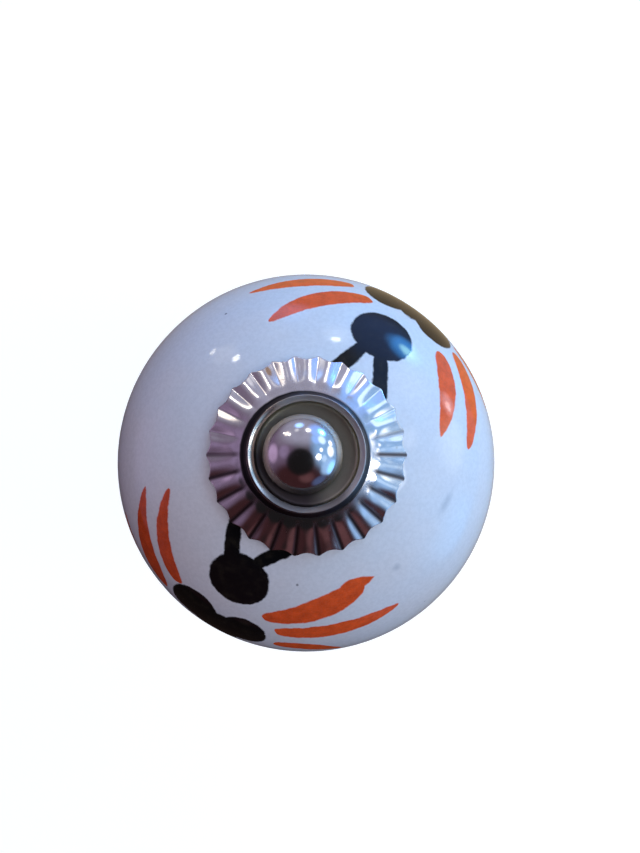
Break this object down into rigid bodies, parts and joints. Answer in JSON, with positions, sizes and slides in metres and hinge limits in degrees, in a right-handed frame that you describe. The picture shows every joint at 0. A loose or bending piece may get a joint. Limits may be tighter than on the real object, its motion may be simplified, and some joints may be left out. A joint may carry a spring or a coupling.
{
  "type": "cabinet knob",
  "caption": "Round glazed ceramic cabinet knob with a brush-painted insect motif, a fluted metal front cap, a domed screw in a cup washer, a back ferrule and a threaded stud.",
  "frame": {"origin": "centre of the ferrule's flat seat ring, on the face of the door or drawer front", "axes": "+Z along the knob's axis, out of the door towards the user; +Y is up in the picture, +X is right"},
  "size_m": [0.04, 0.04, 0.0658],
  "materials": {
    "glazed_ceramic": "glossy clear glaze over white clay with brush-painted orange, brown and black strokes",
    "bright_plate": "bright nickel-like plating, polished, slightly worn on the ridges",
    "zinc_plate": "dull bluish zinc plating"
  },
  "bodies": {
    "root": {"ceramic_body": "glazed_ceramic", "fluted_cap": "bright_plate", "cup_washer": "bright_plate", "dome_screw": "bright_plate", "back_ferrule": "bright_plate", "back_washer": "zinc_plate", "hex_nut": "zinc_plate"}
  },
  "joints": []
}
